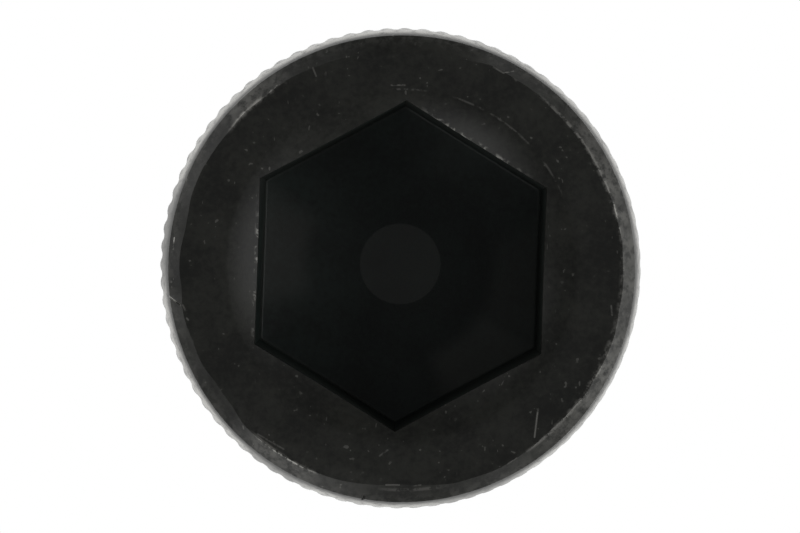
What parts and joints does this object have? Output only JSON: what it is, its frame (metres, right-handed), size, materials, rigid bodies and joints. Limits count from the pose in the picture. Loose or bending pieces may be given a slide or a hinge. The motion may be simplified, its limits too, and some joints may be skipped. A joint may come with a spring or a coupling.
{
  "type": "socket head cap screw",
  "caption": "Hexagon socket head cap screw in black oxide steel: knurled cylindrical head with a chamfered top and a flared hexagon socket, on a coarse threaded shank.",
  "frame": {"origin": "centre of the bearing face under the head", "axes": "+Z along the axis, out of the socket; +X square to a flat of the hexagon; +Y through a corner of it"},
  "size_m": [0.0238, 0.0238, 0.056],
  "materials": {
    "black_oxide_steel": "satin"
  },
  "bodies": {
    "root": {"cap_screw": "black_oxide_steel"}
  },
  "joints": []
}
